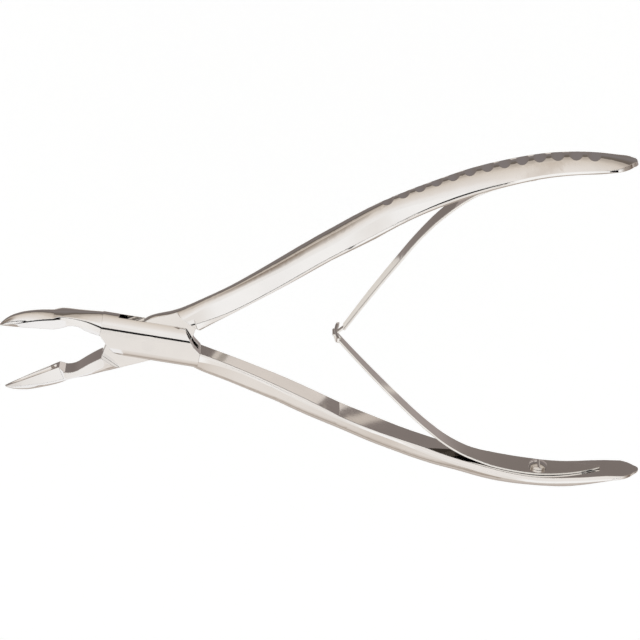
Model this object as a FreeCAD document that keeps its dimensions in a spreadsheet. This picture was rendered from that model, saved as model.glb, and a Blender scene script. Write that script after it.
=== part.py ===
import FreeCAD, Part
import math
import os
import Sketcher

# Bone rongeur with a box joint and double leaf springs, in millimetres.
# Origin on the pivot axis at the lower cheek's outer face. Handles run towards +X, +Z is up.

doc = FreeCAD.newDocument("bone_rongeur")
sheet = doc.addObject("Spreadsheet::Sheet", "Sizes")

# Driving dimensions
DIMENSIONS = [
    ("axis_tilt", -10.4),
    ("open_angle", 26.0),
    ("joint_width", 5.6),
    ("cheek_crown", 5.65),
    ("cheek_keel", 5.2),
    ("web_crown", 5.25),
    ("web_thickness", 2.0),
    ("slot_clearance", 0.05),
    ("pin_diameter", 3.5),
    ("pin_clearance", 0.03),
    ("bite_angle", 8.07),
    ("heel_distance", 23.6),
    ("heel_drop", 0.6),
    ("jaw_length", 13.4),
    ("lower_jaw_extra", 1.5),
    ("jaw_height", 4.65),
    ("jaw_width", 4.86),
    ("rim_width", 3.0),
    ("bite_clearance", 0.06),
    ("cup_radius", 1.22),
    ("handle_length", 127.4),
    ("handle_spread", 19.45),
    ("handle_depth", 5.6),
    ("grip_width", 9.9),
    ("rim_chamfer", 0.28),
    ("scallop_radius", 2.6),
    ("nose_radius", 4.2),
    ("spring_thickness", 0.62),
    ("spring_width", 7.4),
    ("spring_slot_width", 1.7),
    ("spring_neck_width", 1.2),
    ("cross_bar_length", 8.6),
    ("cross_bar_diameter", 1.0),
    ("screw_head_diameter", 4.5),
    ("screw_shank_diameter", 2.2),
    ("screw_hole_clearance", 0.2),
]


class Size:
    """A length or angle together with the sheet expression that gives it."""

    def __init__(self, value, text):
        self.value = value
        self.text = text

    def __add__(self, other):
        other = as_size(other)
        return Size(self.value + other.value, "(%s + %s)" % (self.text, other.text))

    def __radd__(self, other):
        return as_size(other) + self

    def __sub__(self, other):
        other = as_size(other)
        return Size(self.value - other.value, "(%s - %s)" % (self.text, other.text))

    def __rsub__(self, other):
        return as_size(other) - self

    def __mul__(self, other):
        other = as_size(other)
        return Size(self.value * other.value, "(%s * %s)" % (self.text, other.text))

    def __rmul__(self, other):
        return as_size(other) * self

    def __truediv__(self, other):
        other = as_size(other)
        return Size(self.value / other.value, "(%s / %s)" % (self.text, other.text))

    def __neg__(self):
        return Size(-self.value, "(0 - %s)" % self.text)


def as_size(number):
    if isinstance(number, Size):
        return number
    return Size(float(number), "(%.5f)" % number)


def root(size):
    return Size(math.sqrt(size.value), "sqrt(%s)" % size.text)


def sine(angle):
    return Size(math.sin(math.radians(angle.value)), "sin(%s)" % angle.text)


def cosine(angle):
    return Size(math.cos(math.radians(angle.value)), "cos(%s)" % angle.text)


S = {}
for row, (alias, number) in enumerate(DIMENSIONS, 1):
    sheet.set("A%d" % row, alias)
    sheet.set("B%d" % row, str(number))
    sheet.setAlias("B%d" % row, alias)
    S[alias] = Size(number, "Sizes." + alias)
doc.recompute()

# Reference values that turn the measured stations into shares of the driving dimensions
LENGTH = 127.4
SPREAD = 19.45
DEPTH = 5.6
WIDTH = 9.9


def along(station):
    return S["handle_length"] * (station / LENGTH)


def outward(distance):
    return S["handle_spread"] * (distance / SPREAD)


SEAT_MIDDLE = along(97.1)
SEAT_RADIUS = S["handle_length"] * 0.5694
SCREW_POSITION = along(102.5)
SCREW_SLOPE = -4.27


def seat_height(position, side):
    """Height of the flat inner face of the grip, one arc under the spring."""
    across = position - SEAT_MIDDLE
    radius = SEAT_RADIUS
    spread = S["handle_spread"] * (1.0 if side > 0 else 0.979)
    return spread - radius + root(radius * radius - across * across)


# Sketch helpers
def origin_plane(body, role):
    for feature in body.Origin.OriginFeatures:
        if feature.Role == role:
            return feature
    raise ValueError(role)


def new_sketch(body, name, role, base=(0, 0, 0), turn=None, axis=FreeCAD.Vector(0, 1, 0)):
    sketch = body.newObject("Sketcher::SketchObject", name)
    sketch.AttachmentSupport = [(origin_plane(body, role), "")]
    sketch.MapMode = "FlatFace"
    sizes = [as_size(part) for part in base]
    position = FreeCAD.Vector(*[part.value for part in sizes])
    angle = as_size(turn if turn is not None else 0)
    sketch.AttachmentOffset = FreeCAD.Placement(position, FreeCAD.Rotation(axis, angle.value))
    for letter, part in zip("xyz", base):
        if isinstance(part, Size):
            sketch.setExpression("AttachmentOffset.Base.%s" % letter, part.text)
    if isinstance(turn, Size):
        sketch.setExpression("AttachmentOffset.Rotation.Angle", turn.text)
    return sketch


def fix(sketch, kind, index, point, size):
    size_value = as_size(size)
    number = sketch.addConstraint(
        Sketcher.Constraint(kind, -1, 1, index, point, size_value.value))
    if isinstance(size, Size):
        sketch.setExpression("Constraints[%d]" % number, size.text)


def outline(sketch, corners):
    """Closed chain of lines and arcs.

    A corner is (x, y) for a line to the next corner, (x, y, "bend", radius) for an arc, left
    turning when the radius is positive, or (x, y, "crown", middle, turn) for an arc centred on
    the sketch's X axis.
    """
    edges = []
    count = len(corners)
    for number, corner in enumerate(corners):
        after = corners[(number + 1) % count]
        start = FreeCAD.Vector(as_size(corner[0]).value, as_size(corner[1]).value, 0)
        end = FreeCAD.Vector(as_size(after[0]).value, as_size(after[1]).value, 0)
        if len(corner) == 2:
            index = sketch.addGeometry(Part.LineSegment(start, end))
            edges.append((index, 1, 2))
            continue
        if corner[2] == "crown":
            centre = FreeCAD.Vector(as_size(corner[3]).value, 0, 0)
            left = corner[4] > 0
            radius = (start - centre).Length
        else:
            size = as_size(corner[3])
            radius = abs(size.value)
            left = size.value > 0
            chord = end - start
            rise = math.sqrt(max(radius ** 2 - chord.Length ** 2 / 4, 0))
            normal = FreeCAD.Vector(-chord.y, chord.x, 0).normalize()
            centre = (start + end) / 2 + normal * (rise if left else -rise)
        first = start if left else end
        last = end if left else start
        angle_one = math.atan2(first.y - centre.y, first.x - centre.x)
        angle_two = math.atan2(last.y - centre.y, last.x - centre.x)
        if angle_two <= angle_one:
            angle_two += 2 * math.pi
        circle = Part.Circle(centre, FreeCAD.Vector(0, 0, 1), radius)
        index = sketch.addGeometry(Part.ArcOfCircle(circle, angle_one, angle_two))
        edges.append((index, 1, 2) if left else (index, 2, 1))
    for number, (index, begin, finish) in enumerate(edges):
        following = edges[(number + 1) % count]
        sketch.addConstraint(
            Sketcher.Constraint("Coincident", index, finish, following[0], following[1]))
    for number, (index, begin, finish) in enumerate(edges):
        corner = corners[number]
        fix(sketch, "DistanceX", index, begin, corner[0])
        fix(sketch, "DistanceY", index, begin, corner[1])
        if len(corner) > 2 and corner[2] == "crown":
            fix(sketch, "DistanceX", index, 3, corner[3])
        elif len(corner) > 2:
            size = as_size(corner[3])
            constraint = sketch.addConstraint(
                Sketcher.Constraint("Radius", index, abs(size.value)))
            if isinstance(corner[3], Size):
                text = size.text if size.value > 0 else "(0 - %s)" % size.text
                sketch.setExpression("Constraints[%d]" % constraint, text)


def circle(sketch, diameter):
    index = sketch.addGeometry(
        Part.Circle(FreeCAD.Vector(0, 0, 0), FreeCAD.Vector(0, 0, 1), diameter.value / 2))
    sketch.addConstraint(Sketcher.Constraint("Coincident", index, 3, -1, 1))
    number = sketch.addConstraint(Sketcher.Constraint("Diameter", index, diameter.value))
    sketch.setExpression("Constraints[%d]" % number, diameter.text)


# Feature helpers
def both_ways(body, kind, name, sketch, length=None):
    feature = body.newObject("PartDesign::" + kind, name)
    feature.Profile = sketch
    feature.SideType = "Symmetric"
    if length is None:
        feature.Type = "ThroughAll"
    else:
        feature.Length = length.value
        feature.setExpression("Length", length.text)
    doc.recompute()
    return feature


def loft(body, name, sections):
    feature = body.newObject("PartDesign::AdditiveLoft", name)
    feature.Profile = sections[0]
    feature.Sections = sections[1:]
    doc.recompute()
    return feature


def turned(body, kind, name, sketch, axis="V_Axis"):
    feature = body.newObject("PartDesign::" + kind, name)
    feature.Profile = sketch
    feature.ReferenceAxis = (sketch, [axis])
    feature.Angle = 360
    doc.recompute()
    return feature


def place(body, angle):
    body.setExpression("Placement.Base.z", (S["joint_width"] / 2).text)
    body.setExpression("Placement.Rotation.Angle", angle.text)


HALF_WIDTH = S["joint_width"] / 2

# Stations of the handle: distance, inner face, width, depth of the upper handle and of the
# lower one, flat side land, edge strip
HANDLE_STATIONS = [
    (0.5, 0.00, 5.50, 5.75, None, 2.30, 0.02),
    (7.0, 0.00, 5.50, 6.12, None, 2.30, 0.02),
    (12.0, 0.15, 5.50, 6.40, 5.10, 2.30, 0.02),
    (16.0, 1.05, 5.15, 6.30, 5.50, 1.60, 0.02),
    (22.0, 2.35, 5.25, 6.25, 5.65, 1.10, 0.02),
    (30.0, 4.50, 5.85, 6.30, 5.60, 1.00, 0.02),
    (38.0, 7.04, 6.75, 6.25, 5.35, 1.00, 0.02),
    (46.0, 9.70, 7.20, 6.12, 4.98, 1.00, 0.02),
    (53.0, 11.70, 7.45, 6.15, 4.86, 1.00, 0.02),
    (60.0, 13.40, 7.30, 6.45, 5.15, 1.00, 0.02),
    (67.0, 15.15, 6.85, 6.30, 5.05, 1.00, 0.02),
    (74.0, 16.85, 7.20, 5.65, 4.72, 1.00, 0.15),
    (81.0, 18.10, 7.90, 5.15, 4.28, 1.00, 0.30),
    (89.0, 19.00, 8.80, 4.85, 4.32, 1.00, 0.30),
    (98.0, 19.40, 9.90, 4.20, 3.92, 1.00, 0.15),
    (106.0, 18.90, 9.60, 4.00, 3.75, 1.00, 0.02),
    (113.0, 17.60, 9.15, 3.85, 3.65, 1.00, 0.02),
    (119.0, 16.20, 8.80, 3.35, 2.80, 0.85, 0.02),
    (124.0, 15.20, 8.50, 2.10, 1.30, 0.50, 0.02),
    (129.0, 14.20, 8.20, 1.00, 0.60, 0.25, 0.02),
]

# Jaw sections square to the bite line: share of the jaw length from the heel, half rim,
# lower and upper edge of the side flat (height, half width), crown of the upper jaw and of the
# lower one, as shares at the heel
JAW_SECTIONS = [
    (1.00, 0.28, 0.14, 0.32, 0.20, 0.31, 0.34, 0.34),
    (0.94, 0.42, 0.45, 0.62, 0.58, 0.61, 1.25, 1.20),
    (0.86, 0.58, 0.80, 0.95, 0.95, 0.94, 2.15, 1.95),
    (0.70, 0.85, 1.20, 1.45, 1.40, 1.43, 3.28, 3.00),
    (0.45, 1.12, 2.05, 1.95, 2.45, 1.92, 4.16, 3.88),
    (0.22, 1.32, 2.70, 2.25, 3.20, 2.21, 4.46, 4.40),
    (0.00, 1.50, 3.05, 2.43, 3.60, 2.37, 4.42, 4.45),
]

# Neck sections: distance, underside and its half width, lower and upper edge of the side flat
# with their half widths, width of the narrow strip above it, crown of the upper half and of
# the lower one
NECK_SECTIONS = [
    (20.5, 0.45, 2.20, 2.90, 2.46, 3.80, 2.46, 0.05, 4.54, 4.78),
    (17.7, 0.45, 2.35, 2.40, 2.54, 3.70, 2.54, 0.12, 4.88, 5.12),
    (15.0, 0.40, 2.45, 1.75, 2.66, 3.30, 2.65, 0.28, 5.22, 5.15),
    (13.0, 0.35, 2.55, 1.30, 2.74, 2.75, 2.72, 0.40, 5.46, 5.17),
    (11.0, 0.30, 2.60, 0.90, 2.78, 2.40, 2.74, 0.45, 5.60, 5.20),
]

# Underside of the neck behind the heel step for each half: distance, height, arc radius
UPPER_NOTCH = [(21.0, 1.00, -3.97), (16.5, 1.20, 14.0), (12.15, 0.36, None)]
LOWER_NOTCH = [(22.3, 2.05, -5.06), (18.6, 2.10, 43.0), (12.15, 0.36, None)]

STRIP_SLOPE = math.tan(math.radians(5))
SIDE_SLOPE = math.tan(math.radians(12))


def crown_middle(edge, half, crown):
    """Centre of the arc through both flat edges and the crown."""
    rise = crown - edge
    return crown - (half * half + rise * rise) / (rise * 2)


def rounded_side(corners, jaw, high, high_half, strip, side, crown):
    """Adds the narrow strip, the sloping side and the round crown, then the same mirrored."""
    strip_end = high + strip
    strip_half = high_half - strip * STRIP_SLOPE
    side_end = strip_end + side
    side_half = strip_half - side * SIDE_SLOPE
    middle = crown_middle(side_end, side_half, crown)
    corners.append((high * jaw, -high_half))
    corners.append((strip_end * jaw, -strip_half))
    corners.append((side_end * jaw, -side_half, "crown", middle * jaw, jaw))
    corners.append((side_end * jaw, side_half))
    corners.append((strip_end * jaw, strip_half))
    corners.append((high * jaw, high_half))


def box_section(body, name, jaw):
    """Cross section of the joint: flat cheeks, slightly tilted upper facet, round crown and keel."""
    facet = S["joint_width"] * 0.4933
    crown = S["cheek_crown"] if jaw > 0 else S["web_crown"]
    keel = S["cheek_keel"]
    land = crown * 0.18
    low = keel * -0.4615
    sketch = new_sketch(body, name, "YZ_Plane", (0, 0, S["heel_distance"] * -0.5212))
    corners = [(low * jaw, -HALF_WIDTH), (land * jaw, -HALF_WIDTH)]
    rounded_side(
        corners, jaw, crown * 0.4325, facet, crown * 0.085, crown * 0.14, crown)
    corners.append((land * jaw, HALF_WIDTH))
    corners.append((
        low * jaw, HALF_WIDTH, "crown", crown_middle(-low, HALF_WIDTH, keel) * -jaw, jaw))
    outline(sketch, corners)
    return sketch


def neck_outline(sketch, jaw, under, rim, low, low_half, high, high_half, strip, side, crown):
    corners = [(under * jaw, -rim), (low * jaw, -low_half)]
    rounded_side(corners, jaw, high, high_half, strip, side, crown)
    corners.append((low * jaw, low_half))
    corners.append((under * jaw, rim))
    outline(sketch, corners)


def jaw_reach(jaw):
    """Length of the cup; the lower jaw is slightly longer."""
    if jaw > 0:
        return S["jaw_length"]
    return S["jaw_length"] + S["lower_jaw_extra"]


def heel_point(jaw, share):
    """Point on the bite line, share 0 at the heel and 1 at the tip."""
    reach = jaw_reach(jaw) * share
    across = -S["heel_distance"] - reach * cosine(S["bite_angle"])
    down = -S["heel_drop"] - reach * sine(S["bite_angle"])
    return across, down


def jaw_sketch(body, name, jaw, share):
    across, down = heel_point(jaw, share)
    return new_sketch(body, name, "YZ_Plane", (down, 0, across), S["bite_angle"])


def add_jaw(body, jaw):
    """Cupped jaw, a loft of sections square to the bite line."""
    tall = S["jaw_height"] / 4.65
    broad = S["jaw_width"] / 4.86
    rims = S["rim_width"] / 3.0
    sections = []
    for number, values in enumerate(JAW_SECTIONS):
        share, rim, low, low_half, high, high_half, upper_crown, lower_crown = values
        crown = upper_crown if jaw > 0 else lower_crown
        sketch = jaw_sketch(body, "jaw_section_%d" % number, jaw, share)
        middle = crown_middle(tall * high, broad * high_half, tall * crown)
        outline(sketch, [
            (S["bite_clearance"] * jaw, rims * -rim),
            (tall * (low * jaw), broad * -low_half),
            (tall * (high * jaw), broad * -high_half, "crown", middle * jaw, jaw),
            (tall * (high * jaw), broad * high_half),
            (tall * (low * jaw), broad * low_half),
            (S["bite_clearance"] * jaw, rims * rim),
        ])
        sections.append(sketch)
    return loft(body, "jaw", sections)


def add_neck(body, jaw):
    """Neck, a loft from the heel of the jaw to the box."""
    tall = S["jaw_height"] / 4.65
    broad = S["jaw_width"] / 4.86
    neck = S["heel_distance"] / 23.6
    high = S["cheek_crown"] / 5.65
    wide = S["joint_width"] / 5.6
    sketch = jaw_sketch(body, "heel_section", jaw, 0)
    neck_outline(
        sketch, jaw, S["bite_clearance"] * 1, S["rim_width"] * 0.5, tall * 3.05, broad * 2.43,
        tall * 3.60, broad * 2.37, tall * 0.03, tall * 0.05, tall * 4.42)
    sections = [sketch]
    for number, values in enumerate(NECK_SECTIONS):
        distance, under, rim, low, low_half, top, top_half, strip = values[:8]
        crown = values[8] if jaw > 0 else values[9]
        if jaw < 0:
            rim, low, low_half = low_half - 0.04, under + 0.25, low_half
        sketch = new_sketch(body, "neck_section_%d" % number, "YZ_Plane", (0, 0, neck * -distance))
        side = (crown - top - strip) * 0.28
        neck_outline(
            sketch, jaw, high * under, wide * rim, high * low, wide * low_half, high * top,
            wide * top_half, high * strip, high * side, high * crown)
        sections.append(sketch)
    return loft(body, "neck", sections)


def side_share(width, depth, land, strip):
    """Length of the sloping side that runs tangent into the round back."""
    slope = math.radians(12)
    rise = depth - land - strip
    lost = math.cos(slope) - (1 - math.sin(slope)) * math.tan(slope)
    radius = (width / 2 - strip * STRIP_SLOPE - rise * math.tan(slope)) / lost
    return max(rise - radius * (1 - math.sin(slope)), 0.05)


def add_handle(body, side):
    """Handle as a loft of flat-faced sections with a round back."""
    sections = []
    for number, values in enumerate(HANDLE_STATIONS):
        station, inner, width, upper_depth, lower_depth, land, strip = values
        depth = upper_depth if side > 0 else lower_depth
        if depth is None:
            continue
        sketch = new_sketch(body, "handle_section_%d" % number, "YZ_Plane", (0, 0, along(station)))
        half = S["grip_width"] * (width / WIDTH / 2)
        deep = S["handle_depth"] / DEPTH
        face = outward(inner)
        sloping = side_share(width, depth, land, strip)
        corners = [
            ((face - 0.35) * side, S["rim_chamfer"] * 1.6 - half),
            ((face + S["rim_chamfer"] * 1.5) * side, -half),
        ]
        rounded_side(
            corners, side, face + land, half, deep * strip, deep * sloping, face + deep * depth)
        corners += [
            ((face + S["rim_chamfer"] * 1.5) * side, half),
            ((face - 0.35) * side, half - S["rim_chamfer"] * 1.6),
        ]
        outline(sketch, corners)
        sections.append(sketch)
    return loft(body, "handle", sections)


def back_height(station, side):
    """Distance of the handle's back from the half's axis."""
    column = 3 if side > 0 else 4
    for before, after in zip(HANDLE_STATIONS, HANDLE_STATIONS[1:]):
        if station <= after[0]:
            share = (station - before[0]) / (after[0] - before[0])
            inner = before[1] + share * (after[1] - before[1])
            deep = before[column] + share * (after[column] - before[column])
            return outward(inner) + S["handle_depth"] * (deep / DEPTH)
    raise ValueError(station)


# Inner face from the shoulder to the grip: distance, height, arc radius to the next point
UPPER_INNER = [(12.9, 0.27, 900.0), (50.0, 10.95, -1200.0), (62.0, 13.65, -108.0)]
LOWER_INNER = [(12.9, 0.27, 276.0), (50.0, 10.95, -230.0)]


def cut_inner_face(body, side):
    """Flat inner face of shank and grip, with the arc that carries the spring."""
    seat_end = along(117.9)
    corners = []
    for station, distance, radius in (UPPER_INNER if side > 0 else LOWER_INNER):
        bend = S["handle_length"] * (radius / LENGTH)
        corners.append((along(station), outward(distance) * side, "bend", bend * side))
    position = along(86.0)
    corners += [
        (position, seat_height(position, side) * side, "bend", SEAT_RADIUS * -side),
        (seat_end, seat_height(seat_end, side) * side),
        (along(129.5), outward(14.15) * side),
        (along(129.5), outward(9.0) * side),
        (along(60.0), outward(6.0) * side),
        (along(20.0), outward(-1.0) * side),
    ]
    sketch = new_sketch(body, "inner_face", "XY_Plane")
    outline(sketch, corners)
    return both_ways(body, "Pocket", "inner_face_cut", sketch)


def cut_scallops(body, side):
    """Row of thirteen finger scallops across the back of the grip."""
    pitch = 4.25
    first = 67.0
    half = 1.78
    sketch = new_sketch(body, "scallops", "XY_Plane")
    corners = []
    for number in range(13):
        station = first + number * pitch
        before = back_height(station - half, side) + 0.25
        after = back_height(station + half, side) + 0.25
        corners.append((along(station - half), before * side, "bend", S["scallop_radius"] * side))
        corners.append((along(station + half), after * side))
    corners.append((along(station + half), outward(30.0) * side))
    corners.append((along(first - half), outward(30.0) * side))
    outline(sketch, corners)
    return both_ways(body, "Pocket", "scallop_cut", sketch)


def cut_round_end(body, side):
    """Rounded free end of the handle, seen from its flat face and from the side."""
    start = along(115.0)
    wide = S["grip_width"] * 0.47
    beyond = along(131.0)
    sketch = new_sketch(body, "round_end", "XZ_Plane")
    turn = S["handle_length"] / LENGTH
    outline(sketch, [
        (start, -wide, "bend", turn * 30.0),
        (along(121.6), S["grip_width"] * -0.425, "bend", turn * 6.5),
        (along(126.6), S["grip_width"] * -0.16, "bend", turn * 1.75),
        (along(126.6), S["grip_width"] * 0.16, "bend", turn * 6.5),
        (along(121.6), S["grip_width"] * 0.425, "bend", turn * 30.0),
        (start, wide),
        (start, S["grip_width"]),
        (beyond, S["grip_width"]),
        (beyond, -S["grip_width"]),
        (start, -S["grip_width"]),
    ])
    both_ways(body, "Pocket", "round_end_cut", sketch)
    nose = new_sketch(body, "nose", "XY_Plane")
    outline(nose, [
        (along(125.4), outward(17.0) * side, "bend", S["nose_radius"] * -side),
        (along(128.2), outward(14.4) * side),
        (along(128.2), outward(10.0) * side),
        (beyond, outward(10.0) * side),
        (beyond, outward(22.0) * side),
        (along(125.4), outward(22.0) * side),
    ])
    return both_ways(body, "Pocket", "nose_cut", nose)


def cut_cup(body, jaw):
    """Deep cup of the biting jaw, turned about the bite line."""
    across, down = heel_point(jaw, 0)
    radius = S["cup_radius"]
    reach = jaw_reach(jaw) / 13.4
    sketch = new_sketch(
        body, "cup", "XY_Plane", (across, down, 0), S["bite_angle"], FreeCAD.Vector(0, 0, 1))
    outline(sketch, [
        (reach * -0.45, 0),
        (reach * -0.75, radius * 0.6, "bend", as_size(-1.6)),
        (reach * -2.2, radius, "bend", as_size(-60.0)),
        (reach * -9.5, radius * 0.52, "bend", as_size(-30.0)),
        (reach * -12.9, 0),
    ])
    return turned(body, "Groove", "cup_cut", sketch, "H_Axis")


def cut_heel(body, jaw):
    """Step behind the cup that thins the neck."""
    neck = S["heel_distance"] / 23.6
    high = S["cheek_crown"] / 5.65
    corners = [(neck * -23.55, S["heel_drop"] * -1.0)]
    for distance, height, radius in (UPPER_NOTCH if jaw > 0 else LOWER_NOTCH):
        if radius is None:
            corners.append((neck * -distance, high * (height * jaw)))
        else:
            corners.append((neck * -distance, high * (height * jaw), "bend", neck * (radius * jaw)))
    corners.append((neck * -12.15, high * (-3.0 * jaw)))
    corners.append((neck * -23.55, high * (-3.0 * jaw)))
    sketch = new_sketch(body, "heel_step", "XY_Plane")
    outline(sketch, corners)
    return both_ways(body, "Pocket", "heel_step_cut", sketch)


def add_screw_bore(body, side, name, radius, top, bottom):
    """Round bore square to the spring seat."""
    position = SCREW_POSITION
    sketch = new_sketch(
        body, name, "XY_Plane", (position, seat_height(position, side) * side, 0),
        SCREW_SLOPE * side, FreeCAD.Vector(0, 0, 1))
    outline(sketch, [
        (0, top * side),
        (radius, top * side),
        (radius, bottom * side),
        (0, bottom * side),
    ])
    return turned(body, "Groove", name + "_cut", sketch)


def new_half(name, jaw, angle):
    """Box, jaw, neck and handle of one half, before its own joint cuts."""
    side = -jaw
    body = doc.addObject("PartDesign::Body", name)
    body.Label = name
    place(body, angle)
    box = box_section(body, "box_section", jaw)
    pad = body.newObject("PartDesign::Pad", "box")
    pad.Profile = box
    pad.Length = 25.2
    pad.setExpression("Length", (S["heel_distance"] * 0.5212 + along(12.9)).text)
    doc.recompute()
    add_neck(body, jaw)
    add_jaw(body, jaw)
    add_handle(body, side)
    cut_inner_face(body, side)
    cut_scallops(body, side)
    cut_round_end(body, side)
    cut_heel(body, jaw)
    cut_cup(body, jaw)
    add_screw_bore(
        body, side, "screw_bore", S["screw_shank_diameter"] / 2, as_size(-1.0), as_size(2.9))
    return body


def plan_cut(body, name, points, sign=1):
    sketch = new_sketch(body, name, "XY_Plane")
    outline(sketch, [(x * sign, y * sign) for x, y in points])
    return sketch


BOX = S["joint_width"] / 5.6

# Slotted half: upper jaw, two cheeks with the slot between them, lower handle
slotted = new_half("slotted_half", 1, S["axis_tilt"])
LEFT_EDGE = [
    (BOX * -12.15, BOX * 0.36),
    (BOX * -10.1, BOX * -2.0),
    (BOX * -8.1, BOX * -4.0),
    (BOX * -5.3, BOX * -4.75),
    (BOX * -4.0, BOX * -7.0),
    (BOX * -15.0, BOX * -7.0),
    (BOX * -15.0, BOX * 0.36),
]
RIGHT_EDGE = [
    (BOX * 12.9, BOX * -0.27),
    (BOX * 11.1, BOX * 1.3),
    (BOX * 9.3, BOX * 3.8),
    (BOX * 7.6, BOX * 6.5),
    (BOX * 15.0, BOX * 6.5),
    (BOX * 15.0, BOX * -0.27),
]
SLOT = [
    (BOX * -7.18, BOX * 7.0),
    (BOX * -12.6, BOX * -0.4),
    (BOX * -12.6, BOX * -7.0),
    (BOX * 7.18, BOX * -7.0),
    (BOX * 12.6, BOX * 0.4),
    (BOX * 12.6, BOX * 7.0),
]
both_ways(slotted, "Pocket", "left_edge_cut", plan_cut(slotted, "left_edge", LEFT_EDGE))
both_ways(slotted, "Pocket", "right_edge_cut", plan_cut(slotted, "right_edge", RIGHT_EDGE))
slot_width = S["web_thickness"] + S["slot_clearance"] * 2
both_ways(slotted, "Pocket", "slot_cut", plan_cut(slotted, "slot", SLOT), slot_width)
pin_hole = new_sketch(slotted, "pin_hole", "XY_Plane")
circle(pin_hole, S["pin_diameter"])
both_ways(slotted, "Pocket", "pin_hole_cut", pin_hole)

# Through half: lower jaw, thin web in the slot, upper handle
through = new_half("through_half", -1, S["axis_tilt"] + S["open_angle"])
WEB_CORNER = [
    (BOX * -12.3, BOX * -0.4),
    (BOX * -6.85, BOX * 7.0),
    (BOX * -20.0, BOX * 7.0),
    (BOX * -20.0, BOX * -0.2),
    (BOX * -12.6, BOX * -0.3),
]
SHOULDERS = [
    (BOX * -12.5, BOX * -0.2),
    (BOX * -9.2, BOX * -4.85),
    (BOX * -8.2, BOX * -7.0),
    (BOX * 14.0, BOX * -7.0),
    (BOX * 13.5, BOX * 0.2),
    (BOX * 11.7, BOX * 2.4),
    (BOX * 10.0, BOX * 4.5),
    (BOX * 8.5, BOX * 7.0),
    (BOX * -12.5, BOX * 7.0),
]
both_ways(through, "Pocket", "jaw_corner_cut", plan_cut(through, "jaw_corner", WEB_CORNER))
both_ways(
    through, "Pocket", "handle_corner_cut", plan_cut(through, "handle_corner", WEB_CORNER, -1))
for name, direction in (("near", 1), ("far", -1)):
    face = new_sketch(
        through, name + "_shoulders", "XY_Plane", (0, 0, S["web_thickness"] * (direction / 2)))
    outline(face, SHOULDERS)
    cut = through.newObject("PartDesign::Pocket", name + "_shoulder_cut")
    cut.Profile = face
    cut.Reversed = direction > 0
    cut.Length = 8
    cut.setExpression("Length", (S["joint_width"] * 1.5).text)
    doc.recompute()
web_hole = new_sketch(through, "web_hole", "XY_Plane")
circle(web_hole, S["pin_diameter"] + S["pin_clearance"] * 2)
both_ways(through, "Pocket", "web_hole_cut", web_hole)

# Joint pin, pressed into both cheeks and ground flush
pin = doc.addObject("PartDesign::Body", "joint_pin")
pin.Label = "joint_pin"
place(pin, S["axis_tilt"])
pin_circle = new_sketch(pin, "pin_section", "XY_Plane")
circle(pin_circle, S["pin_diameter"])
both_ways(pin, "Pad", "pin_body", pin_circle, S["joint_width"])

# Spring outlines on the handle side: position, distance, arc radius to the next point, share
# of the thickness, slope
UPPER_SPRING = [
    (118.0, None, "seat", 0.85, -17.0),
    (93.4, None, 23.8, 1.0, 3.0),
    (86.5, 17.90, 61.0, 1.0, 20.0),
    (76.3, 13.20, 90.0, 1.0, 30.5),
    (66.4, 6.25, 400.0, 1.0, 37.8),
    (44.2, -11.98, None, 0.9, 41.0),
]
LOWER_SPRING = [
    (118.0, None, "seat", 0.85, -17.0),
    (93.4, None, 47.0, 1.0, 3.0),
    (84.0, 17.65, 34.0, 1.0, 15.5),
    (74.7, 13.48, 95.0, 1.0, 31.0),
    (66.6, 7.95, 400.0, 1.0, 37.0),
    (44.2, -10.35, None, 0.9, 41.0),
]


def spring_side(body, side):
    """Side view of a leaf spring: seat arc, root bend and the rising leaf."""
    face = []
    inner = []
    for station, distance, radius, share, slope in (UPPER_SPRING if side > 0 else LOWER_SPRING):
        position = along(station)
        height = seat_height(position, side) - 0.01 if distance is None else outward(distance)
        deep = S["spring_thickness"] * share
        tilt = math.radians(slope)
        face.append((position, height, radius))
        inner.append((position + deep * math.sin(tilt), height - deep * math.cos(tilt)))
    corners = []
    for position, height, radius in face[:-1]:
        bend = SEAT_RADIUS if radius == "seat" else S["handle_length"] * (radius / LENGTH)
        corners.append((position, height * side, "bend", bend * side))
    corners.append((face[-1][0], face[-1][1] * side))
    reverse = list(reversed(range(len(inner))))
    for number in reverse[:-1]:
        radius = face[number - 1][2]
        bend = SEAT_RADIUS if radius == "seat" else S["handle_length"] * (radius / LENGTH)
        position, height = inner[number]
        corners.append((position, height * side, "bend", (bend - S["spring_thickness"]) * -side))
    corners.append((inner[0][0], inner[0][1] * side))
    sketch = new_sketch(body, "spring_side", "XY_Plane")
    outline(sketch, corners)
    return sketch


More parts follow.
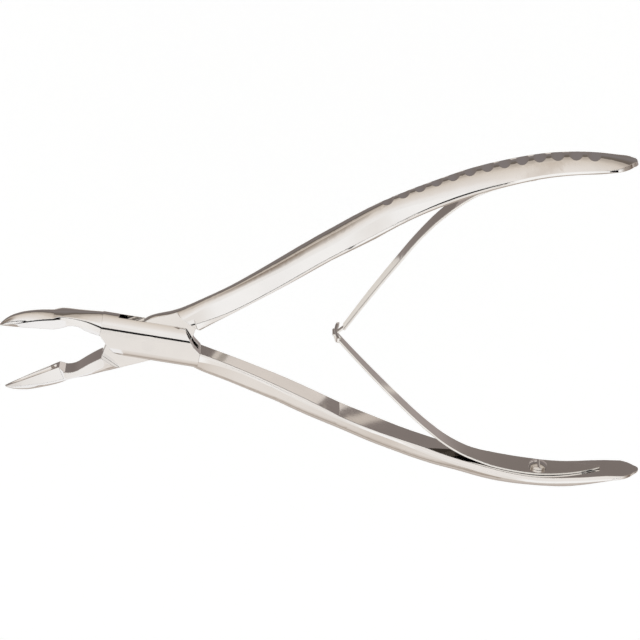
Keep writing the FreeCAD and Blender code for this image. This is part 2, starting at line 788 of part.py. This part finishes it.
def new_spring(name, side, angle):
    body = doc.addObject("PartDesign::Body", name)
    body.Label = name
    place(body, angle)
    both_ways(body, "Pad", "leaf", spring_side(body, side), S["spring_width"] * 1.1)
    broad = S["spring_width"] / 7.4
    wide = S["spring_width"] / 2
    tip = along(118.2)
    plan = new_sketch(body, "plan", "XZ_Plane")
    reach = along(130.0)
    outline(plan, [
        (along(40.0), wide * -1.5),
        (reach, wide * -1.5),
        (reach, wide * 1.5),
        (along(40.0), wide * 1.5),
    ])
    edge = [(43.0, 1.50), (56.0, 1.95), (72.5, 2.25), (85.0, 2.75), (90.0, 3.40), (94.0, 3.62)]
    upper_edge = [(along(station), broad * half) for station, half in edge]
    lower_edge = [(position, -half) for position, half in upper_edge]
    outline(plan, lower_edge + [
        (along(99.0), -wide),
        (along(106.0), -wide, "bend", S["handle_length"] * 0.25),
        (along(114.8), broad * -2.75, "bend", S["handle_length"] * 0.035),
        (tip, 0, "bend", S["handle_length"] * 0.035),
        (along(114.8), broad * 2.75, "bend", S["handle_length"] * 0.25),
        (along(106.0), wide),
        (along(99.0), wide),
    ] + upper_edge[::-1])
    both_ways(body, "Pocket", "plan_cut", plan)
    add_screw_bore(
        body, side, "screw_hole", S["screw_shank_diameter"] / 2 + S["screw_hole_clearance"],
        as_size(-3.0), as_size(1.0))
    return body


# Lower spring: slotted tip that carries the other spring's cross bar
lower_spring = new_spring("lower_spring", -1, S["axis_tilt"])
tip_slot = new_sketch(lower_spring, "tip_slot", "XZ_Plane")
slot_half = S["spring_slot_width"] / 2
outline(tip_slot, [
    (along(44.9), -slot_half),
    (along(49.5), -slot_half),
    (along(49.5), slot_half),
    (along(44.9), slot_half),
])
both_ways(lower_spring, "Pocket", "tip_slot_cut", tip_slot)

# Upper spring: narrow neck through the slot and the cross bar behind it
upper_spring = new_spring("upper_spring", 1, S["axis_tilt"] + S["open_angle"])
neck_half = S["spring_neck_width"] / 2
neck_plan = new_sketch(upper_spring, "neck", "XZ_Plane")
for edge in (-1, 1):
    outline(neck_plan, [
        (along(40.0), neck_half * edge),
        (along(47.0), neck_half * edge),
        (along(47.0), S["spring_width"] * (edge * 0.6)),
        (along(40.0), S["spring_width"] * (edge * 0.6)),
    ])
both_ways(upper_spring, "Pocket", "neck_cut", neck_plan)
bar = new_sketch(upper_spring, "cross_bar", "XY_Plane", (along(44.3), outward(-12.1), 0))
circle(bar, S["cross_bar_diameter"])
both_ways(upper_spring, "Pad", "cross_bar_pad", bar, S["cross_bar_length"])


def new_screw(name, side, angle):
    """Slotted screw with a low domed head, square to the spring seat."""
    body = doc.addObject("PartDesign::Body", name)
    body.Label = name
    place(body, angle)
    position = SCREW_POSITION
    head = S["screw_head_diameter"] / 2
    shank = S["screw_shank_diameter"] / 2
    under = -S["spring_thickness"] - 0.03
    profile = new_sketch(
        body, "screw_profile", "XY_Plane", (position, seat_height(position, side) * side, 0),
        SCREW_SLOPE * side, FreeCAD.Vector(0, 0, 1))
    outline(profile, [
        (0, (under - 1.35) * side, "bend", as_size(4.0 * side)),
        (head, (under - 0.6) * side),
        (head, under * side),
        (shank, under * side),
        (shank, 2.4 * side),
        (shank - 0.4, 2.8 * side),
        (0, 2.8 * side),
    ])
    turned(body, "Revolution", "screw_body", profile)
    slot = new_sketch(
        body, "screw_slot", "XY_Plane", (position, seat_height(position, side) * side, 0),
        SCREW_SLOPE * side, FreeCAD.Vector(0, 0, 1))
    outline(slot, [
        (-0.3, (under - 0.75) * side),
        (0.3, (under - 0.75) * side),
        (0.3, (under - 2.5) * side),
        (-0.3, (under - 2.5) * side),
    ])
    both_ways(body, "Pocket", "screw_slot_cut", slot)
    return body


# Spring screws
lower_screw = new_screw("lower_spring_screw", -1, S["axis_tilt"])
upper_screw = new_screw("upper_spring_screw", 1, S["axis_tilt"] + S["open_angle"])

# Check and export
doc.recompute()
for item in doc.Objects:
    if "Invalid" in item.State or "Error" in item.State:
        raise RuntimeError("feature %s of %s is not valid" % (item.Name, item.Label))
bodies = [slotted, through, pin, lower_spring, upper_spring, lower_screw, upper_screw]
os.makedirs("parts", exist_ok=True)
for body in bodies:
    if body.Shape.isNull() or not body.Shape.isValid() or len(body.Shape.Solids) != 1:
        raise RuntimeError("body %s is not one valid solid" % body.Label)
    body.Shape.exportStep("parts/%s.step" % body.Label)
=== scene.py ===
import math

import bmesh
import bpy
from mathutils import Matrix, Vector


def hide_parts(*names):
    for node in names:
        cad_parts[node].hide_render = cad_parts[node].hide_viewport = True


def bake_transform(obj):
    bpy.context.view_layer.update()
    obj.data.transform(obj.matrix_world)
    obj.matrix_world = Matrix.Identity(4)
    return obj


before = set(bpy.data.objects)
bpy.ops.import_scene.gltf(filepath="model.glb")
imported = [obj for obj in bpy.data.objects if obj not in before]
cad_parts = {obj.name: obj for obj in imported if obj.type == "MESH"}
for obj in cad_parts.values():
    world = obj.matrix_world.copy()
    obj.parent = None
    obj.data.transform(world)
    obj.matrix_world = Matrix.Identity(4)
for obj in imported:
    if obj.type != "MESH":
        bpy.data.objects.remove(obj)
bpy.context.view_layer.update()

MM = 0.001
MIDDLE = 2.8  # Height of the joint's mid-plane in mm
TILT = math.radians(28.5)  # Camera's lean from straight above
PIN_SURROUND = 0.0026  # Circle round the pin that keeps its sharp edges


# Materials
def node(tree, kind, **values):
    """Adds a shader node and sets its own properties."""
    made = tree.nodes.new(kind)
    for key, value in values.items():
        setattr(made, key, value)
    return made


def soft_edges(tree, place, radius):
    """Shading normal that rounds the edges finely, except round the ground-flush pin."""
    edges = node(tree, "ShaderNodeBevel", samples=8)
    edges.inputs["Radius"].default_value = radius
    flat = node(tree, "ShaderNodeVectorMath", operation="MULTIPLY")
    flat.inputs[1].default_value = (1, 1, 0)
    tree.links.new(place.outputs["Object"], flat.inputs[0])
    reach = node(tree, "ShaderNodeVectorMath", operation="LENGTH")
    tree.links.new(flat.outputs["Vector"], reach.inputs[0])
    away = node(tree, "ShaderNodeMath", operation="GREATER_THAN")
    away.inputs[1].default_value = PIN_SURROUND
    tree.links.new(reach.outputs["Value"], away.inputs[0])
    plain_normal = node(tree, "ShaderNodeNewGeometry")
    choice = node(tree, "ShaderNodeMix", data_type="VECTOR")
    tree.links.new(away.outputs["Value"], choice.inputs["Factor"])
    tree.links.new(plain_normal.outputs["Normal"], choice.inputs["A"])
    tree.links.new(edges.outputs["Normal"], choice.inputs["B"])
    return choice.outputs["Result"]


def paint_under_side_shade(tree, colour):
    """Painted shade: darkens the marked side of the lower leaf, towards its handle, so that it
    shows dark as shade.
    """
    mark = node(tree, "ShaderNodeAttribute", attribute_name="under_side")
    # Painted shade: the ramp takes the marked side near black
    painted_shade = node(tree, "ShaderNodeValToRGB")
    painted_shade.color_ramp.elements[0].color = (1, 1, 1, 1)
    painted_shade.color_ramp.elements[1].color = (0.07, 0.06, 0.05, 1)
    tree.links.new(mark.outputs["Fac"], painted_shade.inputs["Fac"])
    both = node(tree, "ShaderNodeMix", data_type="RGBA", blend_type="MULTIPLY")
    both.inputs["Factor"].default_value = 1.0
    tree.links.new(colour, both.inputs["A"])
    tree.links.new(painted_shade.outputs["Color"], both.inputs["B"])
    return both.outputs["Result"]


def steel(name, color, rough, wear, line_scale, blotch, edge_radius=None, shade_under_side=False):
    """Polished steel with fine polishing lines, a faint cloudy tone and uneven gloss."""
    material = bpy.data.materials.new(name)
    material.use_nodes = True
    tree = material.node_tree
    tree.nodes.clear()
    output = node(tree, "ShaderNodeOutputMaterial")
    shader = node(tree, "ShaderNodeBsdfPrincipled")
    shader.inputs["Metallic"].default_value = 1.0
    place = node(tree, "ShaderNodeTexCoord")
    cloud = node(tree, "ShaderNodeTexNoise")
    cloud.inputs["Scale"].default_value = blotch
    cloud.inputs["Detail"].default_value = 3.0
    tree.links.new(place.outputs["Object"], cloud.inputs["Vector"])
    tone = node(tree, "ShaderNodeValToRGB")
    tone.color_ramp.elements[0].position = 0.3
    tone.color_ramp.elements[0].color = (*[c * (1 - wear) for c in color], 1)
    tone.color_ramp.elements[1].position = 0.7
    tone.color_ramp.elements[1].color = (*color, 1)
    tree.links.new(cloud.outputs["Fac"], tone.inputs["Fac"])
    # Painted shade on the lower leaf's side towards its handle
    if shade_under_side:
        colour = paint_under_side_shade(tree, tone.outputs["Color"])
    else:
        colour = tone.outputs["Color"]
    tree.links.new(colour, shader.inputs["Base Color"])
    stretch = node(tree, "ShaderNodeMapping")
    stretch.inputs["Scale"].default_value = (line_scale * 0.12, line_scale, line_scale)
    tree.links.new(place.outputs["Object"], stretch.inputs["Vector"])
    lines = node(tree, "ShaderNodeTexNoise")
    lines.inputs["Scale"].default_value = 1.0
    lines.inputs["Detail"].default_value = 4.0
    tree.links.new(stretch.outputs["Vector"], lines.inputs["Vector"])
    gloss = node(tree, "ShaderNodeMapRange")
    gloss.inputs["To Min"].default_value = rough * 0.7
    gloss.inputs["To Max"].default_value = rough * 1.5
    tree.links.new(lines.outputs["Fac"], gloss.inputs["Value"])
    tree.links.new(gloss.outputs["Result"], shader.inputs["Roughness"])
    bump = node(tree, "ShaderNodeBump")
    bump.inputs["Strength"].default_value = 0.05
    bump.inputs["Distance"].default_value = 0.00002
    if edge_radius:
        tree.links.new(soft_edges(tree, place, edge_radius), bump.inputs["Normal"])
    tree.links.new(lines.outputs["Fac"], bump.inputs["Height"])
    tree.links.new(bump.outputs["Normal"], shader.inputs["Normal"])
    tree.links.new(shader.outputs["BSDF"], output.inputs["Surface"])
    return material


forged = steel("forged_steel", (0.94, 0.93, 0.92), 0.05, 0.05, 900.0, 90.0, 0.0002)
# Spring steel, with painted shade on the lower leaf's side towards its handle
sprung = steel("spring_steel", (0.95, 0.94, 0.92), 0.05, 0.06, 1200.0, 140.0, shade_under_side=True)
pinned = steel("pin_steel", (0.93, 0.92, 0.91), 0.08, 0.05, 900.0, 120.0)
turned = steel("screw_steel", (0.92, 0.91, 0.90), 0.10, 0.08, 1500.0, 300.0, 0.00008)


NODE_MATERIALS = {
    "slotted_half": forged,
    "through_half": forged,
    "joint_pin": pinned,
    "lower_spring": sprung,
    "upper_spring": sprung,
    "lower_spring_screw": turned,
    "upper_spring_screw": turned,
}
for name, material in NODE_MATERIALS.items():
    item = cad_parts[name]
    item.data.materials.clear()
    item.data.materials.append(material)

# Leaf springs, measured in mm along each handle (u) and outwards from its axis (v). A face is
# given by points on it with the arc's radius to the next point and the leaf's thickness, and
# the plan by half widths along u.
TURN_LOWER = math.radians(-10.4)
TURN_UPPER = math.radians(15.6)
SEAT_RADIUS = 72.54
UPPER_FACE = [
    (118.0, 16.362, SEAT_RADIUS, 0.53),
    (93.4, 19.348, 23.8, 0.62),
    (86.5, 17.90, 61.0, 0.62),
    (76.3, 13.20, 90.0, 0.62),
    (66.4, 6.25, 400.0, 0.62),
    (44.2, -11.98, None, 0.56),
]
LOWER_FACE = [
    (118.0, 15.954, SEAT_RADIUS, 0.53),
    (93.4, 18.94, 47.0, 0.62),
    (84.0, 17.65, 34.0, 0.62),
    (74.7, 13.48, 95.0, 0.62),
    (66.6, 7.95, 400.0, 0.62),
    (44.2, -10.35, None, 0.56),
]
SPRING_PLAN = [
    (43.0, 1.50), (48.0, 1.62), (56.0, 1.95), (66.0, 2.17), (72.5, 2.25), (80.0, 2.60),
    (85.0, 2.75), (87.6, 3.00), (90.0, 3.38), (94.0, 3.62), (98.0, 3.70), (101.0, 3.68),
    (103.0, 3.55), (105.2, 3.30), (107.8, 2.92), (110.4, 2.50), (113.0, 1.97), (115.0, 1.45),
    (116.4, 1.02), (117.4, 0.66), (118.0, 0.38),
]
SLOT_START, SLOT_END = 44.9, 46.6
UPPER_LEAF_END = 47.0
ARC_STEP = 0.5
LEAF_EDGE = 0.00016


def between(table, key, column=1):
    """Straight interpolation in a table that rises in its first column."""
    if key <= table[0][0]:
        return table[0][column]
    for before, after in zip(table, table[1:]):
        if key <= after[0]:
            share = (key - before[0]) / (after[0] - before[0])
            return before[column] + share * (after[column] - before[column])
    return table[-1][column]


def spring_face(table):
    """Points along the outer face of a leaf, from the tail to the tip, with its thickness."""
    points = []
    for (u1, v1, radius, thick1), (u2, v2, _, thick2) in zip(table, table[1:]):
        start, end = Vector((u1, v1)), Vector((u2, v2))
        chord = end - start
        normal = Vector((-chord.y, chord.x)).normalized()
        centre = (start + end) / 2 + normal * math.sqrt(radius ** 2 - chord.length_squared / 4)
        first = math.atan2(start.y - centre.y, start.x - centre.x)
        last = math.atan2(end.y - centre.y, end.x - centre.x)
        if last <= first:
            last += 2 * math.pi
        count = max(6, int(chord.length / ARC_STEP))
        for number in range(count):
            share = number / count
            angle = first + share * (last - first)
            point = centre + radius * Vector((math.cos(angle), math.sin(angle)))
            points.append((point.x, point.y, thick1 + share * (thick2 - thick1)))
    points.append((table[-1][0], table[-1][1], table[-1][3]))
    return points


def leaf(name, side, turn, slot):
    """A leaf spring as a closed sheet, with a slot near its tip where it carries the other."""
    points = spring_face(LOWER_FACE if slot else UPPER_FACE)
    if not slot:
        points = [point for point in points if point[0] > UPPER_LEAF_END]
    rows = []
    for number, (u, v, thick) in enumerate(points):
        before = points[max(number - 1, 0)]
        after = points[min(number + 1, len(points) - 1)]
        along = Vector((after[0] - before[0], after[1] - before[1])).normalized()
        inward = Vector((along.y, -along.x))
        if inward.y > 0:
            inward = -inward
        half = between(SPRING_PLAN, u)
        inner = min(0.85, half * 0.6)
        columns = [-half, -inner, 0.0, inner, half]
        rows.append((u, v, inward * thick, columns))
    vertices = []
    for u, v, inward, columns in rows:
        for depth in (0, 1):
            for z in columns:
                vertices.append((u + inward.x * depth, v + inward.y * depth, z))
    cells = []
    for number in range(len(rows) - 1):
        middle = (rows[number][0] + rows[number + 1][0]) / 2
        for column in range(4):
            if slot and SLOT_START < middle < SLOT_END and column in (1, 2):
                continue
            cells.append((number, column))
    kept = set(cells)
    faces, under = [], []
    for number, column in cells:
        a, b = number * 10 + column, number * 10 + column + 1
        c, d = b + 10, a + 10
        if slot:
            under.append(len(faces))
        faces.append((a, b, c, d))
        faces.append((d + 5, c + 5, b + 5, a + 5))
        for neighbour, (p, q) in (
                ((number - 1, column), (a, b)), ((number, column + 1), (b, c)),
                ((number + 1, column), (c, d)), ((number, column - 1), (d, a))):
            if neighbour not in kept:
                faces.append((q, p, p + 5, q + 5))
    mesh = bpy.data.meshes.new(name)
    cosine, sine = math.cos(turn), math.sin(turn)
    placed = []
    for u, v, z in vertices:
        y = v * side
        placed.append((
            (u * cosine - y * sine) * MM, (u * sine + y * cosine) * MM, (MIDDLE + z) * MM))
    mesh.from_pydata(placed, [], faces)
    # Marks the faces that get the painted shade
    marks = mesh.attributes.new("under_side", "FLOAT", "FACE")
    for number in under:
        marks.data[number].value = 1.0
    work = bmesh.new()
    work.from_mesh(mesh)
    loose = [vertex for vertex in work.verts if not vertex.link_faces]
    bmesh.ops.delete(work, geom=loose, context="VERTS")
    bmesh.ops.recalc_face_normals(work, faces=work.faces)
    work.to_mesh(mesh)
    work.free()
    return mesh


def add_piece(name, mesh, material):
    """Puts a mesh into the scene with one material."""
    item = bpy.data.objects.new(name, mesh)
    bpy.context.scene.collection.objects.link(item)
    mesh.materials.append(material)
    return item


def round_edges(item, width):
    """Fine round on every edge that is sharper than 35 degrees."""
    bevel = item.modifiers.new("edges", "BEVEL")
    bevel.width = width
    bevel.segments = 2
    bevel.limit_method = "ANGLE"
    bevel.angle_limit = math.radians(35.0)
    bevel.harden_normals = True
    item.data.shade_smooth()


def swept(name, path, sections):
    """Closed strip along a path; each section is (half length along Z, half thickness)."""
    vertices, faces = [], []
    for (point, across, normal), (half, thick) in zip(path, sections):
        for i, j in ((-1, -1), (1, -1), (1, 1), (-1, 1)):
            vertices.append(tuple(Vector(point) + Vector(across) * (i * half)
                                  + Vector(normal) * (j * thick)))
    for number in range(len(path) - 1):
        base = number * 4
        for k in range(4):
            a, b = base + k, base + (k + 1) % 4
            faces.append((a, b, b + 4, a + 4))
    faces.append((3, 2, 1, 0))
    last = (len(path) - 1) * 4
    faces.append((last, last + 1, last + 2, last + 3))
    mesh = bpy.data.meshes.new(name)
    mesh.from_pydata(vertices, [], faces)
    work = bmesh.new()
    work.from_mesh(mesh)
    bmesh.ops.recalc_face_normals(work, faces=work.faces)
    work.to_mesh(mesh)
    work.free()
    return mesh


def half_frame(u, v, z, turn, side):
    """A place on one half, in mm, turned into the scene's metres."""
    y = v * side
    return Vector((
        u * math.cos(turn) - y * math.sin(turn), u * math.sin(turn) + y * math.cos(turn),
        MIDDLE + z)) * MM


def join_meshes(name, meshes):
    """One mesh from several."""
    work = bmesh.new()
    for mesh in meshes:
        work.from_mesh(mesh)
    joined = bpy.data.meshes.new(name)
    work.to_mesh(joined)
    work.free()
    return joined


lower_leaf = leaf("lower_leaf", -1, TURN_LOWER, True)
upper_leaf = leaf("upper_leaf", 1, TURN_UPPER, False)

# Neck and cross bar of the upper leaf, in mm, with half widths and half thicknesses
NECK_TOP = (47.6, -9.40)
NECK_RUN = (-2.5, -1.1)
NECK_SECTION = (0.6, 0.28)
CROSS_PLACE = (45.04, -10.41)
CROSS_STATIONS = (-4.3, -3.5, -2.4, -1.2, 0.0, 1.2, 2.4, 3.5, 4.3)
CROSS_BOW = 0.7
CROSS_ENDS = [(0.6, 0.32), (0.85, 0.36)]
CROSS_MIDDLE = [(0.9, 0.36)] * 5
CROSS_WIDE = (0.12 * MM, 0.99 * MM, 0)
CROSS_DEEP = (0.99 * MM, -0.12 * MM, 0)
thickness = half_frame(0.66, -0.75, 0, TURN_UPPER, 1) - half_frame(0, 0, 0, TURN_UPPER, 1)
neck_path = []
for share in (0.0, 0.25, 0.5, 0.75, 1.0):
    u = NECK_TOP[0] + share * NECK_RUN[0]
    v = NECK_TOP[1] + share * NECK_RUN[1]
    neck_path.append((half_frame(u, v, 0, TURN_UPPER, 1), (0, 0, MM), thickness))
neck = swept("neck", neck_path, [NECK_SECTION] * len(neck_path))
cross_path = []
for z in CROSS_STATIONS:
    bow = CROSS_BOW * (z / CROSS_STATIONS[-1]) ** 2
    middle = half_frame(*CROSS_PLACE, z, TURN_UPPER, 1) + Vector((bow, 0, 0)) * MM
    cross_path.append((middle, CROSS_WIDE, CROSS_DEEP))
bar = swept("bar", cross_path, CROSS_ENDS + CROSS_MIDDLE + CROSS_ENDS[::-1])

# The leaves, curved between the places where they leave their handles, take the place of the
# springs from model.glb
springs = {
    "lower_leaf_spring": (lower_leaf, "lower_spring"),
    "upper_leaf_spring": (join_meshes("upper_mesh", [upper_leaf, neck, bar]), "upper_spring"),
}
for name, (mesh, replaced) in springs.items():
    item = add_piece(name, mesh, sprung)
    round_edges(item, LEAF_EDGE)
    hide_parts(replaced)
    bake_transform(item)

# Floor
FLOOR_DROP = -0.150
FLOOR_HALF = 4
FLOOR_LIFT = (0.288, 0.328, 0.359)  # Brings the lit paper to white


def plane(name, centre, across, along, material):
    """Flat stage piece from its centre and its two half sides."""
    mesh = bpy.data.meshes.new(name)
    a, b = Vector(across), Vector(along)
    c = Vector(centre)
    mesh.from_pydata([c - a - b, c + a - b, c + a + b, c - a + b], [], [(0, 1, 2, 3)])
    item = bpy.data.objects.new(name, mesh)
    bpy.context.scene.collection.objects.link(item)
    mesh.materials.append(material)
    return item


def plain(name, color):
    """Matt material with no shine, for the stage."""
    material = bpy.data.materials.new(name)
    material.use_nodes = True
    shader = material.node_tree.nodes["Principled BSDF"]
    shader.inputs["Base Color"].default_value = (*color, 1)
    shader.inputs["Roughness"].default_value = 0.8
    shader.inputs["Specular IOR Level"].default_value = 0.0
    return material


def ramp_between(tree, value, stops, low, high):
    """Colour ramp over a value, with the stops given in the value's own unit."""
    spread = node(tree, "ShaderNodeMapRange")
    spread.inputs["From Min"].default_value = low
    spread.inputs["From Max"].default_value = high
    tree.links.new(value, spread.inputs["Value"])
    ramp = node(tree, "ShaderNodeValToRGB")
    while len(ramp.color_ramp.elements) < len(stops):
        ramp.color_ramp.elements.new(0.5)
    for element, (position, color) in zip(ramp.color_ramp.elements, stops):
        element.position = (position - low) / (high - low)
        element.color = (*color, 1)
    tree.links.new(spread.outputs["Result"], ramp.inputs["Fac"])
    return ramp.outputs["Color"]


def glowing(name, color=(1, 1, 1)):
    """Material that only glows; its tree and its emission are given back for a pattern."""
    material = bpy.data.materials.new(name)
    material.use_nodes = True
    tree = material.node_tree
    tree.nodes.clear()
    output = node(tree, "ShaderNodeOutputMaterial")
    glow = node(tree, "ShaderNodeEmission")
    glow.inputs["Color"].default_value = (*color, 1)
    tree.links.new(glow.outputs["Emission"], output.inputs["Surface"])
    return material, tree, glow


def floor_paper():
    """White paper; the camera sees it lifted to white and it keeps the shadow."""
    material = plain("floor_paper", (0.98, 0.98, 0.98))
    tree = material.node_tree
    shader = tree.nodes["Principled BSDF"]
    path = node(tree, "ShaderNodeLightPath")
    shader.inputs["Emission Color"].default_value = (*FLOOR_LIFT, 1)
    seen = node(tree, "ShaderNodeMath", operation="ADD")
    tree.links.new(path.outputs["Is Camera Ray"], seen.inputs[0])
    tree.links.new(path.outputs["Is Glossy Ray"], seen.inputs[1])
    every = node(tree, "ShaderNodeMath", operation="ADD")
    tree.links.new(seen.outputs["Value"], every.inputs[0])
    tree.links.new(path.outputs["Is Transmission Ray"], every.inputs[1])
    tree.links.new(every.outputs["Value"], shader.inputs["Emission Strength"])
    return material


plane(
    "floor", (0, 0, FLOOR_DROP), (FLOOR_HALF, 0, 0), (0, FLOOR_HALF, 0), floor_paper())

# Cards that only the reflections show: a grey one under the object, toned along Y in metres,
# with small light ones just above it, and black bars and two more cards over and beside it
CARD_TONES = [
    (-0.60, (0.60, 0.54, 0.49)),
    (-0.13, (0.44, 0.385, 0.35)),
    (-0.03, (0.37, 0.32, 0.305)),
    (0.015, (0.24, 0.205, 0.19)),
    (0.06, (0.20, 0.17, 0.155)),
    (0.12, (0.22, 0.195, 0.19)),
    (0.20, (0.16, 0.135, 0.115)),
    (0.27, (0.15, 0.125, 0.105)),
    (0.29, (0.46, 0.40, 0.345)),
    (1.0, (0.64, 0.57, 0.50)),
]
CARD_GAP = 0.001
grey, tree, glow = glowing("grey_card")
place = node(tree, "ShaderNodeTexCoord")
split = node(tree, "ShaderNodeSeparateXYZ")
tree.links.new(place.outputs["Object"], split.inputs["Vector"])
tree.links.new(
    ramp_between(tree, split.outputs["Y"], CARD_TONES, -1.0, 1.0), glow.inputs["Color"])
card = plane(
    "grey_card", (0, 0, FLOOR_DROP + CARD_GAP), (FLOOR_HALF, 0, 0), (0, FLOOR_HALF, 0), grey)
black = plain("black_bar", (0.01, 0.01, 0.01))
BAR_ANGLE = math.radians(-18.6)
BAR_REACH = 1.0
BAR_HALF_WIDTH = 0.105
bar_centre = Vector((0, math.sin(BAR_ANGLE), math.cos(BAR_ANGLE))) * BAR_REACH
bar_across = Vector((0, math.cos(BAR_ANGLE), -math.sin(BAR_ANGLE))) * BAR_HALF_WIDTH
black_bar = plane("black_bar", bar_centre + Vector((-0.72, 0, 0)), (0.78, 0, 0), bar_across, black)
short_bar = plane(
    "short_black_bar", bar_centre + Vector((0.47, 0, 0)), (0.14, 0, 0), bar_across, black)


def light_patch(name, left, right, low, high, color):
    """Small light card just above the grey one, given by its edges in mm."""
    centre = Vector((
        (left + right) / 2 * MM, (low + high) / 2 * MM, FLOOR_DROP + 2 * CARD_GAP))
    return plane(
        name, centre, ((right - left) / 2 * MM, 0, 0), (0, (high - low) / 2 * MM, 0),
        glowing(name, color)[0])


patches = [
    light_patch("box_light", 73, 75.2, 18, 75, (0.62, 0.56, 0.50)),
    light_patch("box_half_light", 75.2, 78, 18, 75, (0.36, 0.32, 0.28)),
    light_patch("shank_light", 78, 104, 18, 75, (0.70, 0.64, 0.59)),
    light_patch("shank_light_end", 104, 117.2, 18, 46, (0.70, 0.64, 0.59)),
    light_patch("wave_light", 119.9, 122.9, 28, 37, (0.60, 0.53, 0.47)),
    light_patch("leaf_light", -75, -14.4, -90, 5.5, (0.74, 0.70, 0.655)),
    light_patch("glint_light", 143.7, 146.0, -34, -20, (0.66, 0.60, 0.55)),
    light_patch("neck_light", 20, 66, 15, 50, (0.66, 0.60, 0.56)),
]


def facing_card(name, start, direction, reach, half_across, half_along, material):
    """Flat card square to the line that leaves a point in a direction, with sizes in mm."""
    ray = Vector(direction).normalized()
    centre = (Vector(start) + ray * reach) * MM
    across = ray.cross(Vector((0, 0, 1))).normalized()
    along = ray.cross(across).normalized()
    return plane(
        name, centre, across * half_across * MM, along * half_along * MM, material)


jaw_light = plane(
    "jaw_light", (-82 * MM, -52 * MM, 40 * MM), (68 * MM, 0, 0), (0, 0, 30 * MM),
    glowing("jaw_light", (0.93, 0.92, 0.92))[0])
edge_card = facing_card("edge_card", (33, -12, 5), (0.55, 0.68, 0.40), 450, 110, 160, black)
for item in (card, black_bar, short_bar, jaw_light, edge_card, *patches):
    item.visible_camera = False
    item.visible_diffuse = False
    item.visible_shadow = False

# Soft light from all around: SKY_TONES go by the angle from straight up towards Y, in radians,
# and SIDE_TONES by how far the light leans along X
world = bpy.data.worlds.new("studio")
bpy.context.scene.world = world
world.use_nodes = True
sky = world.node_tree
sky_place = node(sky, "ShaderNodeTexCoord")
parts = node(sky, "ShaderNodeSeparateXYZ")
sky.links.new(sky_place.outputs["Generated"], parts.inputs["Vector"])
angle = node(sky, "ShaderNodeMath", operation="ARCTAN2")
sky.links.new(parts.outputs["Y"], angle.inputs[0])
sky.links.new(parts.outputs["Z"], angle.inputs[1])
SKY_TONES = [
    (-3.14, (0.60, 0.54, 0.49)),
    (-1.60, (0.42, 0.36, 0.31)),
    (-1.38, (0.48, 0.42, 0.37)),
    (-1.15, (0.72, 0.66, 0.61)),
    (-0.80, (0.86, 0.82, 0.78)),
    (-0.62, (0.96, 0.95, 0.94)),
    (-0.45, (1.00, 0.99, 0.98)),
    (-0.20, (0.97, 0.96, 0.95)),
    (0.10, (0.92, 0.905, 0.89)),
    (0.40, (0.90, 0.87, 0.845)),
    (0.75, (0.83, 0.78, 0.735)),
    (1.10, (0.79, 0.735, 0.68)),
    (1.57, (0.71, 0.64, 0.57)),
    (3.14, (0.60, 0.53, 0.465)),
]
SIDE_TONES = [
    (-1.00, (0.26, 0.22, 0.19)),
    (-0.78, (0.34, 0.29, 0.25)),
    (-0.58, (0.95, 0.94, 0.93)),
    (-0.20, (1.00, 1.00, 1.00)),
    (-0.10, (0.90, 0.88, 0.86)),
    (-0.05, (0.86, 0.83, 0.80)),
    (-0.02, (0.86, 0.83, 0.80)),
    (0.05, (1.00, 1.00, 1.00)),
    (0.58, (0.95, 0.94, 0.93)),
    (0.78, (0.40, 0.35, 0.31)),
    (1.00, (0.30, 0.26, 0.23)),
]
background = sky.nodes["Background"]
blend = node(sky, "ShaderNodeMix", data_type="RGBA", blend_type="MULTIPLY")
blend.inputs["Factor"].default_value = 1.0
sky.links.new(
    ramp_between(sky, angle.outputs["Value"], SKY_TONES, -math.pi, math.pi), blend.inputs["A"])
sky.links.new(
    ramp_between(sky, parts.outputs["X"], SIDE_TONES, -1.0, 1.0), blend.inputs["B"])
sky.links.new(blend.outputs["Result"], background.inputs["Color"])
background.inputs["Strength"].default_value = 1.0
backdrop = node(sky, "ShaderNodeBackground")
backdrop.inputs["Color"].default_value = (1, 1, 1, 1)
sky_path = node(sky, "ShaderNodeLightPath")
either = node(sky, "ShaderNodeMixShader")
sky.links.new(sky_path.outputs["Is Camera Ray"], either.inputs["Fac"])
sky.links.new(background.outputs["Background"], either.inputs[1])
sky.links.new(backdrop.outputs["Background"], either.inputs[2])
sky.links.new(either.outputs["Shader"], sky.nodes["World Output"].inputs["Surface"])

# Camera
VIEW_CENTRE = Vector((42.36 * MM, 5.58 * MM, MIDDLE * MM))
CAMERA_REACH = 0.8
CAMERA_LENS = 182.25
camera_data = bpy.data.cameras.new("camera")
camera_data.sensor_width = 36.0
camera_data.lens = CAMERA_LENS
camera_data.clip_start = 0.01
camera_data.clip_end = 50.0
camera = bpy.data.objects.new("camera", camera_data)
bpy.context.scene.collection.objects.link(camera)
camera.location = VIEW_CENTRE + Vector((0, math.sin(TILT), math.cos(TILT))) * CAMERA_REACH
camera.rotation_euler = (-TILT, 0, 0)
bpy.context.scene.camera = camera
bpy.context.scene.view_settings.view_transform = "Standard"
